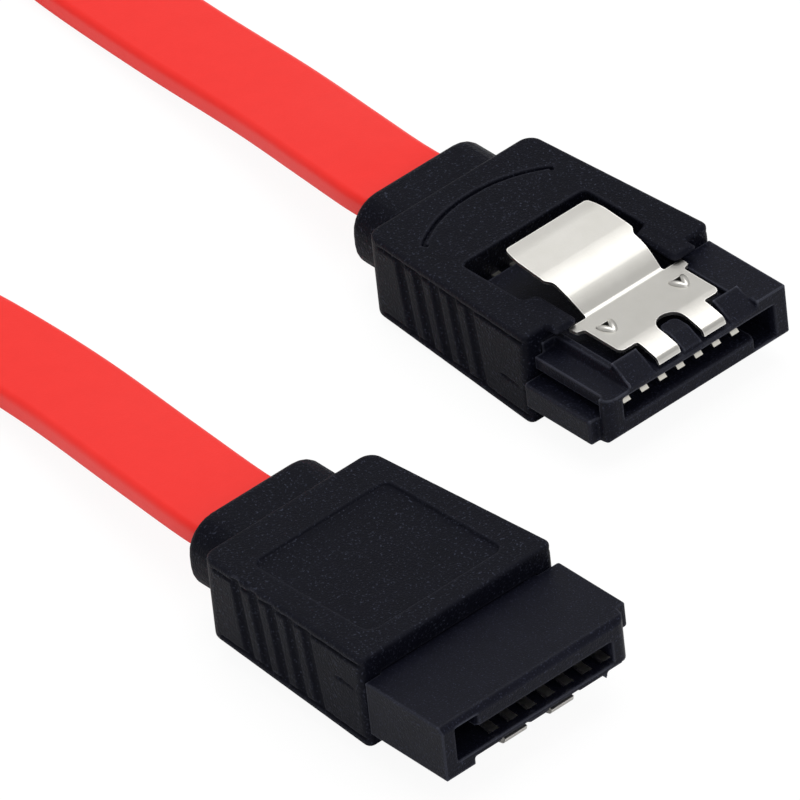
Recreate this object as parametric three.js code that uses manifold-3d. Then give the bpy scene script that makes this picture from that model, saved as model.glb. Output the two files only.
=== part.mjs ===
// A drive data cable: a flat red cable with the same straight, latching connector on both ends.
//
// Frame: millimetres, +Z up, +X the way both connectors push into their sockets. The origin is on
// the surface that the cable lies on, below the middle of the two connectors. Connector A lies with
// its latch up. Connector B is the same connector turned over, so it stands on its latch tab. The
// cable between them turns onto its edge, and its length is folded into one long loop with a tie.
//
// Each connector is modelled in its own frame: x = 0 is the mating face with -x toward the cable,
// y = 0 is the middle of the latch, and z = 0 is the flat back of the moulded grip.

import * as THREE from 'three';
import { mergeVertices } from 'three/addons/utils/BufferGeometryUtils.js';
import Module from 'manifold-3d';

const wasm = await Module();
wasm.setup();

// Sizes

const GAP = 0.06; // clearance between pieces that sit in one another
const CORD_GAP = 0.3; // between the cable's jacket and the pieces that it meets

// Moulded grip
const HOUSING_LENGTH = 5.85; // the housing stands this far out of the grip
const GRIP_LENGTH = 13.2;
const GRIP_FRONT_HALF = 6.6;
const GRIP_REAR_HALF = 5.85;
const GRIP_HEIGHT = 5.75;
const GRIP_REAR_RISE = 0.45; // the back slopes up by this much toward the cable
const GRIP_REAR_DROP = 0.15; // and the top slopes down by this much
const GRIP_FRONT_RADIUS = 0.5;
const GRIP_REAR_RADIUS = 0.9;
const GRIP_EDGE = 0.25; // bevel round the top and the back
const COLLAR_LENGTH = 2.85;
const COLLAR_HALF = 4.6;
const COLLAR_BOTTOM = 0.85;
const COLLAR_TOP = 5.25;
const COLLAR_RADIUS = 1.85;

// Rib grooves on the grip's sides
const RIB_COUNT = 5;
const RIB_PITCH = 1.45;
const RIB_WIDTH = 0.8;
const RIB_DEPTH = 0.28;
const RIB_FIRST = 4.3; // behind the grip's front face
const RIB_MARGIN = 0.75; // left plain above and below

// Shallow panel on the grip's back, and the crescent groove on its top
const PANEL_DEPTH = 0.18;
const PANEL_HALF = 4.6;
const PANEL_SET_BACK = 1.5; // behind the grip's front face
const PANEL_LENGTH = 9.1;
const PANEL_RADIUS = 0.8;
const CRESCENT_DEPTH = 0.3;
const CRESCENT_WIDTH = 0.25;
const CRESCENT_HALF = 4.5;
const CRESCENT_BULGE = 1.4;
const CRESCENT_SET_BACK = 10.1; // its ends lie this far behind the grip's front face

// Latch window in the grip's top, with a tab on each side that holds the latch's ears down
const WINDOW_LENGTH = 7.3;
const WINDOW_HALF = 4.35;
const TAB_REACH = 0.95; // each tab reaches this far into the window
const TAB_LENGTH = 2.9;
const TAB_OVERHANG = 0.75; // and this far in front of the grip's front face
const TAB_THICKNESS = 0.42;

// Front housing
const HOUSING_BOTTOM = 1.45;
const HOUSING_TOP = 4.75;
const HOUSING_LEFT = 6.45;
const HOUSING_RIGHT = 5.45; // the wall under the shelf
const RAIL_HALF = 4.45; // the rail beside the latch's well ends here
const LEDGE_REACH = 6.85;
const LEDGE_TOP = 2.95;
const SHELF_REACH = 5.95;
const SHELF_BOTTOM = 3.45;
const SHELF_TOP = 4.2;
const FLANGE_THICKNESS = 0.7;
const FLANGE_REACH = 6.2;
const FLANGE_RADIUS = 0.6;
const STEM_LENGTH = 6.6; // the part of the housing that the grip is moulded round
const STEM_HALF = 5.35;

// L-shaped slot
const SLOT_DEPTH = 5.4;
const SLOT_BOTTOM = 2.65;
const SLOT_HEIGHT = 1.3;
const SLOT_RIGHT = 5.0;
const SLOT_LEFT = 5.5;
const LEG_WIDTH = 1.4;
const LEG_DROP = 0.7;
const LIP_CHAMFER = 0.3;

// Ramp blocks and the tongue at the housing's front edge
const RAMP_INNER = 2.7;
const RAMP_OUTER = 4.45;
const RAMP_BACK = 1.4;
const RAMP_RISE = 0.35;
const RAMP_DROP = 0.45; // from the housing's top to the ramp's front edge
const TONGUE_HALF = 0.62;
const TONGUE_BACK = 2.15;
const TONGUE_RISE = 0.22;
const WELL_DEPTH = 0.42; // the housing is cut down below the latch plate by this much
const WELL_HALF = 4.05;
const WELL_FRONT = 1.6;

// Latch spring
const SHEET = 0.22;
const PLATE_TOP = 5.22;
const PLATE_HALF = 3.5;
const PLATE_FRONT = 1.75;
const EAR_HALF = 3.85;
const EAR_BACK = 5.35;
const EAR_FRONT = 4.65;
const NECK_HALF = 2.8;
const THUMB_HALF = 3.12;
const THUMB_FRONT = 7.85;
const THUMB_BACK = 11.2;
const THUMB_TOP = 6.75;
const THUMB_CURL = 0.1;
const HOOK_INNER = 0.85;
const HOOK_OUTER = 2.35;
const HOOK_FRONT = 0.12;
const HOOK_BOTTOM = 4.5;
const BARB_SPREAD = 2.62;
const BARB_BACK = 3.9;
const BARB_LENGTH = 0.95;
const BARB_WIDTH = 0.6;
const BARB_RISE = 0.32;

// Contacts
const CONTACT_COUNT = 7;
const CONTACT_PITCH = 1.27;
const CONTACT_WIDTH = 0.5;
const CONTACT_THICKNESS = 0.16;
const CONTACT_OFFSET = -0.91; // the row's middle, from the latch's middle
const CONTACT_TIP = 0.1; // behind the mating face
const CONTACT_SLANT = 0.28; // the tip's end leans back by this much
const CONTACT_NOSE = 0.35; // from the strip's top down to the tip's lower edge
const CONTACT_SAG = 0.26;
const CONTACT_ROOF = 0.08; // clearance to the slot's roof

// Carrier behind the stem, and the cores and drain wires that are soldered to the tails
const CARRIER_LENGTH = 1.9;
const CARRIER_HALF = 5.2;
const CARRIER_BOTTOM = 1.6;
const CORE_RADIUS = 0.4;
const DRAIN_RADIUS = 0.16;
const CORE_SPREAD = 1.3; // between neighbouring cores where they enter the jacket
const WIRE_LENGTH = 2.9;

// Cable
const CABLE_WIDTH = 5.8;
const CABLE_THICKNESS = 1.5;
const CABLE_EXIT = 3.4; // height of its middle at the collar

// Where the connectors lie
const SPACING = 24.4; // sideways, from one connector to the other
const STAGGER = 14.8; // connector B reaches this far past connector A

// Tie round the folded cable
const TIE_WIDTH = 3.0;
const TIE_THICKNESS = 0.55;
const TIE_GAP = 0.3;

// Materials

const finish = (color, roughness, metalness = 0) =>
  new THREE.MeshStandardMaterial({ color, roughness, metalness });
const GRIP_PLASTIC = finish(0x17171c, 0.62);
const HOUSING_PLASTIC = finish(0x15151e, 0.42);
const CARRIER_PLASTIC = finish(0x202026, 0.5);
const SPRING_STEEL = finish(0xd6d4ce, 0.28, 1);
const CONTACT_METAL = finish(0xe6dcc0, 0.25, 1);
const CORE_PLASTIC = finish(0xd8dce2, 0.5);
const DRAIN_METAL = finish(0xc8c6c2, 0.35, 1);
const JACKET = finish(0xf4423c, 0.42);
const TIE_PLASTIC = finish(0x1b1b1f, 0.5);

// Shape helpers

function toSolid(geometry) {
  const plain = geometry.index ? geometry.toNonIndexed() : geometry.clone();
  plain.deleteAttribute('normal');
  plain.deleteAttribute('uv');
  const merged = mergeVertices(plain, 1e-4);
  return new wasm.Manifold(new wasm.Mesh({
    numProp: 3,
    vertProperties: new Float32Array(merged.attributes.position.array),
    triVerts: new Uint32Array(merged.index.array),
  }));
}

function toGeometry(solid) {
  const mesh = solid.getMesh();
  const geometry = new THREE.BufferGeometry();
  geometry.setAttribute('position', new THREE.BufferAttribute(mesh.vertProperties, 3));
  geometry.setIndex(new THREE.BufferAttribute(mesh.triVerts, 1));
  geometry.computeVertexNormals();
  return geometry;
}

const join = (first, ...rest) => rest.reduce((sum, solid) => sum.add(solid), first);
const cut = (first, ...rest) => rest.reduce((left, solid) => left.subtract(solid), first);

function box(x0, x1, y0, y1, z0, z1) {
  const geometry = new THREE.BoxGeometry(x1 - x0, y1 - y0, z1 - z0);
  geometry.translate((x0 + x1) / 2, (y0 + y1) / 2, (z0 + z1) / 2);
  return toSolid(geometry);
}

// A closed outline from corner points, each with its own corner radius as a third number.
function outline(corners, segments = 3) {
  const points = [];
  corners.forEach(([x, y, radius = 0], i) => {
    const here = new THREE.Vector2(x, y);
    if (!radius) {
      points.push(here);
      return;
    }
    const last = corners[(i + corners.length - 1) % corners.length];
    const next = corners[(i + 1) % corners.length];
    const back = new THREE.Vector2(last[0], last[1]).sub(here).normalize();
    const on = new THREE.Vector2(next[0], next[1]).sub(here).normalize();
    const reach = radius / Math.tan(Math.acos(THREE.MathUtils.clamp(back.dot(on), -1, 1)) / 2);
    const curve = new THREE.QuadraticBezierCurve(
      here.clone().addScaledVector(back, reach), here, here.clone().addScaledVector(on, reach));
    points.push(...curve.getPoints(segments));
  });
  return points;
}

// An outline in x and y, raised from z0 to z1, with an optional bevel round both faces.
function raised(points, z0, z1, bevel = 0) {
  const geometry = new THREE.ExtrudeGeometry(new THREE.Shape(points), {
    depth: z1 - z0 - 2 * bevel, bevelEnabled: bevel > 0, bevelThickness: bevel, bevelSize: bevel,
    bevelOffset: -bevel, bevelSegments: 1, curveSegments: 1,
  });
  geometry.translate(0, 0, z0 + bevel);
  return geometry;
}

// An outline in x and z, run across from y0 to y1.
function across(points, y0, y1) {
  const geometry = new THREE.ExtrudeGeometry(new THREE.Shape(points), {
    depth: y1 - y0, bevelEnabled: false, curveSegments: 1,
  });
  geometry.rotateX(Math.PI / 2);
  geometry.translate(0, y1, 0);
  return toSolid(geometry);
}

// An outline in y and z, run along from x0 to x1.
function along(points, x0, x1) {
  const geometry = new THREE.ExtrudeGeometry(new THREE.Shape(points), {
    depth: x1 - x0, bevelEnabled: false, curveSegments: 1,
  });
  geometry.rotateX(Math.PI / 2);
  geometry.rotateZ(Math.PI / 2);
  geometry.translate(x0, 0, 0);
  return toSolid(geometry);
}

const pairs = (list) => list.map(([a, b]) => new THREE.Vector2(a, b));

// Connector pieces, in the connector's own frame

const GRIP_FRONT = -HOUSING_LENGTH;
const GRIP_REAR = GRIP_FRONT - GRIP_LENGTH;
const COLLAR_REAR = GRIP_REAR - COLLAR_LENGTH;
const CONNECTOR_LENGTH = -COLLAR_REAR;
const STEM_REAR = GRIP_FRONT - STEM_LENGTH;
const CARRIER_FRONT = STEM_REAR - GAP;
const CARRIER_REAR = CARRIER_FRONT - CARRIER_LENGTH;
const SLOT_TOP = SLOT_BOTTOM + SLOT_HEIGHT;
const CONTACT_TOP = SLOT_TOP - CONTACT_ROOF;
const CONTACT_BOTTOM = CONTACT_TOP - CONTACT_THICKNESS;
const CARRIER_TOP = CONTACT_BOTTOM - GAP;
const WIRE_FRONT = CARRIER_REAR - GAP;
const WIRE_REAR = WIRE_FRONT - WIRE_LENGTH;
const WIRE_HEIGHT = CONTACT_BOTTOM + CONTACT_THICKNESS / 2;
const WELL_FLOOR = HOUSING_TOP - WELL_DEPTH;

const contactPlace = (i) => (i - (CONTACT_COUNT - 1) / 2) * CONTACT_PITCH + CONTACT_OFFSET;

// Slopes a shape as the grip's back and top slope: the grip gets lower toward the cable.
function sloped(geometry) {
  const place = geometry.attributes.position;
  for (let i = 0; i < place.count; i += 1) {
    const toward = (GRIP_FRONT - place.getX(i)) / GRIP_LENGTH;
    const share = place.getZ(i) / GRIP_HEIGHT;
    const low = GRIP_REAR_RISE * toward;
    const high = GRIP_HEIGHT - GRIP_REAR_DROP * toward;
    place.setZ(i, low + share * (high - low));
  }
  return toSolid(geometry);
}

function grip() {
  const plan = outline([
    [GRIP_FRONT, -GRIP_FRONT_HALF, GRIP_FRONT_RADIUS],
    [GRIP_FRONT, GRIP_FRONT_HALF, GRIP_FRONT_RADIUS],
    [GRIP_REAR, GRIP_REAR_HALF, GRIP_REAR_RADIUS], [GRIP_REAR, -GRIP_REAR_HALF, GRIP_REAR_RADIUS],
  ]);
  const block = sloped(raised(plan, 0, GRIP_HEIGHT, GRIP_EDGE));
  const collar = along(outline([
    [-COLLAR_HALF, COLLAR_BOTTOM, COLLAR_RADIUS], [COLLAR_HALF, COLLAR_BOTTOM, COLLAR_RADIUS],
    [COLLAR_HALF, COLLAR_TOP, COLLAR_RADIUS], [-COLLAR_HALF, COLLAR_TOP, COLLAR_RADIUS],
  ]), COLLAR_REAR, GRIP_REAR + 1);

  const windowRear = GRIP_FRONT - WINDOW_LENGTH;
  const tabRear = GRIP_FRONT - TAB_LENGTH;
  const tabFront = GRIP_FRONT + TAB_OVERHANG;
  const tabBottom = GRIP_HEIGHT - TAB_THICKNESS;
  const tabInner = WINDOW_HALF - TAB_REACH;
  const tabs = [1, -1].map((side) => box(tabRear, tabFront,
    ...[side * tabInner, side * (WINDOW_HALF + 0.6)].sort((a, b) => a - b),
    tabBottom, GRIP_HEIGHT));

  const ribs = [];
  for (let i = 0; i < RIB_COUNT; i += 1) {
    const x = GRIP_FRONT - RIB_FIRST - i * RIB_PITCH;
    const toward = (GRIP_FRONT - x) / GRIP_LENGTH;
    const half = GRIP_FRONT_HALF + (GRIP_REAR_HALF - GRIP_FRONT_HALF) * toward;
    for (const side of [1, -1]) {
      ribs.push(box(x - RIB_WIDTH / 2, x + RIB_WIDTH / 2,
        ...[side * (half - RIB_DEPTH), side * (half + 1)].sort((a, b) => a - b),
        GRIP_REAR_RISE + RIB_MARGIN, GRIP_HEIGHT - RIB_MARGIN));
    }
  }

  const panelFront = GRIP_FRONT - PANEL_SET_BACK;
  const panelRear = panelFront - PANEL_LENGTH;
  const panel = sloped(raised(outline([
    [panelFront, -PANEL_HALF, PANEL_RADIUS], [panelFront, PANEL_HALF, PANEL_RADIUS],
    [panelRear, PANEL_HALF, PANEL_RADIUS], [panelRear, -PANEL_HALF, PANEL_RADIUS],
  ]), -1, PANEL_DEPTH));

  const arc = new THREE.QuadraticBezierCurve(
    new THREE.Vector2(GRIP_FRONT - CRESCENT_SET_BACK, -CRESCENT_HALF),
    new THREE.Vector2(GRIP_FRONT - CRESCENT_SET_BACK - 2 * CRESCENT_BULGE, 0),
    new THREE.Vector2(GRIP_FRONT - CRESCENT_SET_BACK, CRESCENT_HALF)).getPoints(8);
  const crescent = sloped(raised([
    ...arc.map((p) => p.clone().setX(p.x + CRESCENT_WIDTH / 2)),
    ...arc.map((p) => p.clone().setX(p.x - CRESCENT_WIDTH / 2)).reverse(),
  ], GRIP_HEIGHT - CRESCENT_DEPTH, GRIP_HEIGHT + 1));

  const socket = box(STEM_REAR - GAP, GRIP_FRONT + 1, -STEM_HALF - GAP, STEM_HALF + GAP,
    HOUSING_BOTTOM - GAP, HOUSING_TOP + GAP);
  const wireRoom = box(WIRE_REAR - GAP, STEM_REAR, -CARRIER_HALF - GAP, CARRIER_HALF + GAP,
    CARRIER_BOTTOM - GAP, SLOT_TOP + 0.35);
  const windowHole = box(windowRear, GRIP_FRONT + 1, -WINDOW_HALF, WINDOW_HALF,
    HOUSING_TOP, GRIP_HEIGHT + 1);
  return join(
    cut(join(block, collar), windowHole, socket, wireRoom, panel, crescent, ...ribs),
    ...tabs);
}

function housing() {
  const right = -HOUSING_RIGHT;
  const flangeBack = -FLANGE_THICKNESS;
  const body = box(GRIP_FRONT + GAP, 0, right, HOUSING_LEFT, HOUSING_BOTTOM, HOUSING_TOP);
  const stem = box(STEM_REAR, GRIP_FRONT + 1, -STEM_HALF, STEM_HALF, HOUSING_BOTTOM, HOUSING_TOP);
  const ledge = box(GRIP_FRONT + GAP, flangeBack - 0.1, -LEDGE_REACH, right + 0.5,
    HOUSING_BOTTOM, LEDGE_TOP);
  const shelf = box(GRIP_FRONT + GAP, flangeBack + 0.1, -SHELF_REACH, right + 0.5,
    SHELF_BOTTOM, SHELF_TOP);
  const flange = toSolid(raised(outline([
    [flangeBack, right + 0.5], [flangeBack, -FLANGE_REACH],
    [0, -FLANGE_REACH, FLANGE_RADIUS], [0, right + 0.5],
  ]), HOUSING_BOTTOM, SHELF_TOP));
  const step = box(GRIP_FRONT + GAP, 1, -LEDGE_REACH - 1, -RAIL_HALF, SHELF_TOP, HOUSING_TOP + 1);

  const legRight = SLOT_LEFT - LEG_WIDTH;
  const slotShape = (grow) => pairs([
    [-SLOT_RIGHT - grow, SLOT_TOP + Math.min(grow, 0)], [-SLOT_RIGHT - grow, SLOT_BOTTOM - grow],
    [legRight - grow, SLOT_BOTTOM - grow], [legRight - grow, SLOT_BOTTOM - LEG_DROP - grow],
    [SLOT_LEFT + grow, SLOT_BOTTOM - LEG_DROP - grow], [SLOT_LEFT + grow, SLOT_TOP],
  ]);
  const slot = along(slotShape(0), -SLOT_DEPTH, 1);
  const lip = along(slotShape(LIP_CHAMFER), -LIP_CHAMFER, 1);

  const rampTop = HOUSING_TOP + RAMP_RISE;
  const ramps = [1, -1].map((side) => across(pairs([
    [-RAMP_BACK - 0.15, SHELF_TOP - 0.1], [0, SHELF_TOP - 0.1],
    [0, HOUSING_TOP - RAMP_DROP], [-RAMP_BACK, rampTop], [-RAMP_BACK - 0.15, rampTop],
  ]), ...[side * RAMP_INNER, side * RAMP_OUTER].sort((a, b) => a - b)));
  const bevel = across(pairs([
    [-RAMP_BACK, HOUSING_TOP + 0.01], [0.5, HOUSING_TOP - RAMP_DROP - 0.3],
    [0.5, HOUSING_TOP + 1], [-RAMP_BACK, HOUSING_TOP + 1],
  ]), -RAMP_OUTER, RAMP_OUTER);
  const well = box(STEM_REAR - 1, -WELL_FRONT, -WELL_HALF, WELL_HALF, WELL_FLOOR, HOUSING_TOP + 1);
  const hookRoom = box(-WELL_FRONT - 0.1, 1, -HOOK_OUTER - 0.15, HOOK_OUTER + 0.15,
    HOOK_BOTTOM - 0.12, HOUSING_TOP + 1);
  const tongue = across(pairs([
    [-TONGUE_BACK, WELL_FLOOR - 0.1], [-0.12, WELL_FLOOR - 0.1], [-0.12, WELL_FLOOR + 0.12],
    [-1.1, HOUSING_TOP + TONGUE_RISE], [-TONGUE_BACK, HOUSING_TOP + TONGUE_RISE],
  ]), -TONGUE_HALF, TONGUE_HALF);

  const contactHoles = [];
  for (let i = 0; i < CONTACT_COUNT; i += 1) {
    const y = contactPlace(i);
    contactHoles.push(box(STEM_REAR - 1, -SLOT_DEPTH + 0.2, y - CONTACT_WIDTH / 2 - GAP,
      y + CONTACT_WIDTH / 2 + GAP, CONTACT_BOTTOM - GAP, SLOT_TOP));
  }
  return join(
    cut(join(cut(join(body, stem, ledge, shelf, flange), bevel), ...ramps),
      step, well, hookRoom, slot, lip, ...contactHoles),
    tongue);
}

function latch() {
  const thumbRear = -THUMB_BACK;
  // the side view of the sheet's top face, from the curled rear edge to the hook's tip
  const side = [
    [thumbRear, THUMB_TOP - THUMB_CURL], [thumbRear + 0.7, THUMB_TOP - 0.05],
    [-9.4, THUMB_TOP], [-THUMB_FRONT, THUMB_TOP - 0.22], [-6.6, PLATE_TOP + 0.72],
    [-EAR_BACK - 0.15, PLATE_TOP + 0.1], [-EAR_FRONT, PLATE_TOP],
    [-PLATE_FRONT - 0.35, PLATE_TOP], [-PLATE_FRONT + 0.35, PLATE_TOP - 0.13],
    [-HOOK_FRONT - 0.2, PLATE_TOP - 0.34], [-HOOK_FRONT, PLATE_TOP - 0.5],
    [-HOOK_FRONT, HOOK_BOTTOM],
  ].map(([x, z]) => new THREE.Vector2(x, z));
  // the sheet's under side lies one sheet thickness inside it
  const under = side.map((p, i) => {
    const before = side[Math.max(i - 1, 0)];
    const after = side[Math.min(i + 1, side.length - 1)];
    const run = after.clone().sub(before).normalize();
    return new THREE.Vector2(p.x + run.y * SHEET, p.y - run.x * SHEET);
  });
  under[under.length - 1].set(-HOOK_FRONT - SHEET, HOOK_BOTTOM);
  const sheet = across([...side, ...under.reverse()], -EAR_HALF, EAR_HALF);

  const half = [
    [thumbRear - 0.5, THUMB_HALF - 0.3], [thumbRear + 0.9, THUMB_HALF],
    [-THUMB_FRONT, THUMB_HALF], [-THUMB_FRONT + 0.35, THUMB_HALF - 0.28],
    [-EAR_BACK - 1.1, NECK_HALF], [-EAR_BACK, NECK_HALF], [-EAR_BACK, EAR_HALF],
    [-EAR_FRONT, EAR_HALF - 0.1], [-EAR_FRONT, PLATE_HALF], [-PLATE_FRONT, PLATE_HALF],
    [-PLATE_FRONT, HOOK_OUTER], [0.5, HOOK_OUTER], [0.5, HOOK_INNER],
    [-TONGUE_BACK + 0.35, HOOK_INNER], [-TONGUE_BACK - 0.12, HOOK_INNER * 0.72],
    [-TONGUE_BACK - 0.32, 0.2],
  ];
  const plan = pairs([...half, ...half.map(([x, y]) => [x, -y]).reverse()]);
  const blank = sheet.intersect(toSolid(raised(plan, HOOK_BOTTOM - 1, THUMB_TOP + 1)));
  const barbs = [1, -1].map((sideSign) => across(pairs([
    [-BARB_BACK, PLATE_TOP - 0.15], [-BARB_BACK + BARB_LENGTH, PLATE_TOP - 0.15],
    [-BARB_BACK + BARB_LENGTH, PLATE_TOP + 0.02], [-BARB_BACK, PLATE_TOP + BARB_RISE],
  ]), sideSign * BARB_SPREAD - BARB_WIDTH / 2, sideSign * BARB_SPREAD + BARB_WIDTH / 2));
  return join(blank, ...barbs);
}

function contact(i) {
  const y = contactPlace(i);
  const strip = [
    [-CONTACT_TIP - 1.2, CONTACT_TOP - CONTACT_SAG],
    [-CONTACT_TIP - 2.9, CONTACT_TOP - CONTACT_SAG], [-SLOT_DEPTH + 0.3, CONTACT_TOP],
    [CARRIER_REAR, CONTACT_TOP],
  ];
  const top = [[-CONTACT_TIP - CONTACT_SLANT, CONTACT_TOP - 0.07], ...strip];
  const bottom = [
    [-CONTACT_TIP, CONTACT_TOP - CONTACT_NOSE],
    ...strip.map(([x, z]) => [x, z - CONTACT_THICKNESS]),
  ];
  return across(pairs([...bottom, ...top.reverse()]),
    y - CONTACT_WIDTH / 2, y + CONTACT_WIDTH / 2);
}

const carrier = () => box(CARRIER_REAR, CARRIER_FRONT, -CARRIER_HALF, CARRIER_HALF,
  CARRIER_BOTTOM, CARRIER_TOP);

// A round wire from a contact's tail back to where the jacket begins.
function wire(fromY, toY, radius, sides) {
  const path = new THREE.CatmullRomCurve3([
    new THREE.Vector3(WIRE_REAR, toY, WIRE_HEIGHT),
    new THREE.Vector3(WIRE_REAR + WIRE_LENGTH * 0.3, toY, WIRE_HEIGHT),
    new THREE.Vector3(WIRE_FRONT - WIRE_LENGTH * 0.25, fromY, WIRE_HEIGHT),
    new THREE.Vector3(WIRE_FRONT, fromY, WIRE_HEIGHT),
  ]);
  const ring = [];
  for (let i = 0; i < sides; i += 1) {
    const turn = (2 * Math.PI * i) / sides;
    ring.push(new THREE.Vector2(radius * Math.cos(turn), radius * Math.sin(turn)));
  }
  return toSolid(new THREE.ExtrudeGeometry(new THREE.Shape(ring), {
    steps: 6, extrudePath: path, curveSegments: 1,
  }));
}

// Assembly

const group = new THREE.Group();

function add(parent, name, solid, material) {
  const mesh = new THREE.Mesh(toGeometry(solid), material);
  mesh.name = name;
  parent.add(mesh);
}

// Ground contacts are the first, the middle and the last one; the others are two signal pairs.
const GROUNDS = [0, 3, 6];
const SIGNALS = [1, 2, 4, 5];

function connector(letter) {
  const end = new THREE.Group();
  add(end, `grip_${letter}`, grip(), GRIP_PLASTIC);
  add(end, `front_housing_${letter}`, housing(), HOUSING_PLASTIC);
  add(end, `latch_spring_${letter}`, latch(), SPRING_STEEL);
  add(end, `contact_carrier_${letter}`, carrier(), CARRIER_PLASTIC);
  for (let i = 0; i < CONTACT_COUNT; i += 1) {
    add(end, `contact_${i + 1}_${letter}`, contact(i), CONTACT_METAL);
  }
  SIGNALS.forEach((place, i) => {
    const rear = (i - 1.5) * CORE_SPREAD;
    add(end, `signal_core_${i + 1}_${letter}`,
      wire(contactPlace(place), rear, CORE_RADIUS, 8), CORE_PLASTIC);
  });
  GROUNDS.forEach((place, i) => {
    const rear = (i - 1) * 2 * CORE_SPREAD;
    add(end, `drain_wire_${i + 1}_${letter}`,
      wire(contactPlace(place), rear, DRAIN_RADIUS, 6), DRAIN_METAL);
  });
  return end;
}

const A_FACE = new THREE.Vector3((CONNECTOR_LENGTH - STAGGER) / 2, SPACING / 2, 0);
const B_FACE = new THREE.Vector3(A_FACE.x + STAGGER, -SPACING / 2, THUMB_TOP);

const endA = connector('a');
endA.position.copy(A_FACE);
group.add(endA);

const endB = connector('b');
endB.rotation.x = Math.PI; // latch down, on its thumb tab
endB.position.copy(B_FACE);
group.add(endB);

// Cable

// The route of the cable's middle: x, y, z and how far its broad face has turned, in degrees.
// It lies face up by connector A, on its edge round the loop, and face down by connector B.
const A_EXIT = [A_FACE.x + COLLAR_REAR - CORD_GAP, A_FACE.y, CABLE_EXIT];
const B_EXIT = [B_FACE.x + COLLAR_REAR - CORD_GAP, B_FACE.y, THUMB_TOP - CABLE_EXIT];
const CLEAR = 0.05; // between the jacket and the surface that it lies on

// The height of the middle of a cable that lies on the surface with its face turned this far.
const lying = (turn) => {
  const angle = THREE.MathUtils.degToRad(turn);
  return (CABLE_WIDTH * Math.abs(Math.sin(angle)) + CABLE_THICKNESS * Math.abs(Math.cos(angle))) / 2
    + CLEAR;
};
const laid = (x, y, turn, lift = 0) => [x, y, lying(turn) + lift, turn];
const TIE_LIFT = TIE_THICKNESS + TIE_GAP;
const ROUTE_A = [
  [...A_EXIT, 0], [A_EXIT[0] - 2, A_EXIT[1], A_EXIT[2], 0], [-25, 12.8, 2.95, 0],
  [-31.4, 13.8, 2.15, 0], [-41, 14.7, 1.3, 0], laid(-50, 15.6, 0), laid(-58, 16.1, 14),
  laid(-66, 15.8, 42), laid(-74, 14.3, 72), laid(-82, 11.8, 88), laid(-89, 9.4, 90),
  laid(-96, 7.6, 90, 0.15),
];
const ROUTE_LOOP = [
  laid(-106, 5.9, 90, TIE_LIFT - 0.15), laid(-114, 5.6, 90, TIE_LIFT),
  laid(-124, 6.3, 90, 0.4), laid(-136, 9.2, 90), laid(-148, 14.2, 90), laid(-160, 18.6, 90),
  laid(-172, 18.8, 90), laid(-182.5, 12.8, 90), laid(-186.5, 3, 90), laid(-182.5, -6.8, 90),
  laid(-172, -12.8, 90), laid(-160, -12.6, 90), laid(-148, -8.2, 90), laid(-136, -3.2, 90),
  laid(-124, -0.3, 90, 0.4), laid(-114, 0.4, 90, TIE_LIFT), laid(-106, 0.1, 90, TIE_LIFT - 0.15),
];
const ROUTE_B = [
  laid(-96, -1.4, 90, 0.15), laid(-87, -3.5, 90), laid(-78, -5.5, 92), laid(-70, -7, 104),
  laid(-61, -8.3, 132), laid(-52, -9.2, 160), laid(-44, -9.7, 175), laid(-36, -9.8, 180),
  [-29, -9.7, 1.25, 180], [-21.5, -10.1, 1.8, 180], [-12.4, -11.4, 2.8, 180],
  [B_EXIT[0] - 2, B_EXIT[1], B_EXIT[2], 180], [...B_EXIT, 180],
];
const ROUTE = [...ROUTE_A, ...ROUTE_LOOP, ...ROUTE_B];
const path = new THREE.CatmullRomCurve3(ROUTE.map(([x, y, z]) => new THREE.Vector3(x, y, z)));

// The jacket's section: flat above and below, with rounded sides.
const jacketSection = (() => {
  const w = CABLE_WIDTH / 2;
  const h = CABLE_THICKNESS / 2;
  return pairs([[-w, -h * 0.42], [-w + 0.55, -h], [w - 0.55, -h], [w, -h * 0.42],
    [w, h * 0.42], [w - 0.55, h], [-w + 0.55, h], [-w, h * 0.42]]);
})();

// One stretch of jacket from one place on the route to another, extruded straight and then bent,
// because its section turns as it goes.
function jacket(from, to, steps) {
  const geometry = new THREE.ExtrudeGeometry(new THREE.Shape(jacketSection), {
    depth: 1, steps, bevelEnabled: false, curveSegments: 1,
  });
  const place = geometry.attributes.position;
  const up = new THREE.Vector3(0, 0, 1);
  for (let i = 0; i < place.count; i += 1) {
    const t = from + (to - from) * place.getZ(i);
    const at = path.getPoint(t);
    const run = path.getTangent(t);
    const left = new THREE.Vector3().crossVectors(up, run).normalize();
    const normal = new THREE.Vector3().crossVectors(run, left);
    const knot = Math.min(Math.floor(t * (ROUTE.length - 1)), ROUTE.length - 2);
    const turn = THREE.MathUtils.degToRad(THREE.MathUtils.lerp(
      ROUTE[knot][3], ROUTE[knot + 1][3], t * (ROUTE.length - 1) - knot));
    const side = left.clone().multiplyScalar(Math.cos(turn)).addScaledVector(normal, Math.sin(turn));
    const face = normal.clone().multiplyScalar(Math.cos(turn)).addScaledVector(left, -Math.sin(turn));
    at.addScaledVector(side, place.getX(i)).addScaledVector(face, place.getY(i));
    place.setXYZ(i, at.x, at.y, at.z);
  }
  return toSolid(geometry);
}

const last = ROUTE.length - 1;
const breakA = (ROUTE_A.length - 1) / last;
const breakB = (ROUTE_A.length + ROUTE_LOOP.length) / last;
const seam = CORD_GAP / (2 * path.getLength());
add(group, 'cable_run_a', jacket(0, breakA - seam, 14), JACKET);
add(group, 'cable_loop', jacket(breakA + seam, breakB - seam, 30), JACKET);
add(group, 'cable_run_b', jacket(breakB + seam, 1, 15), JACKET);

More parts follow.
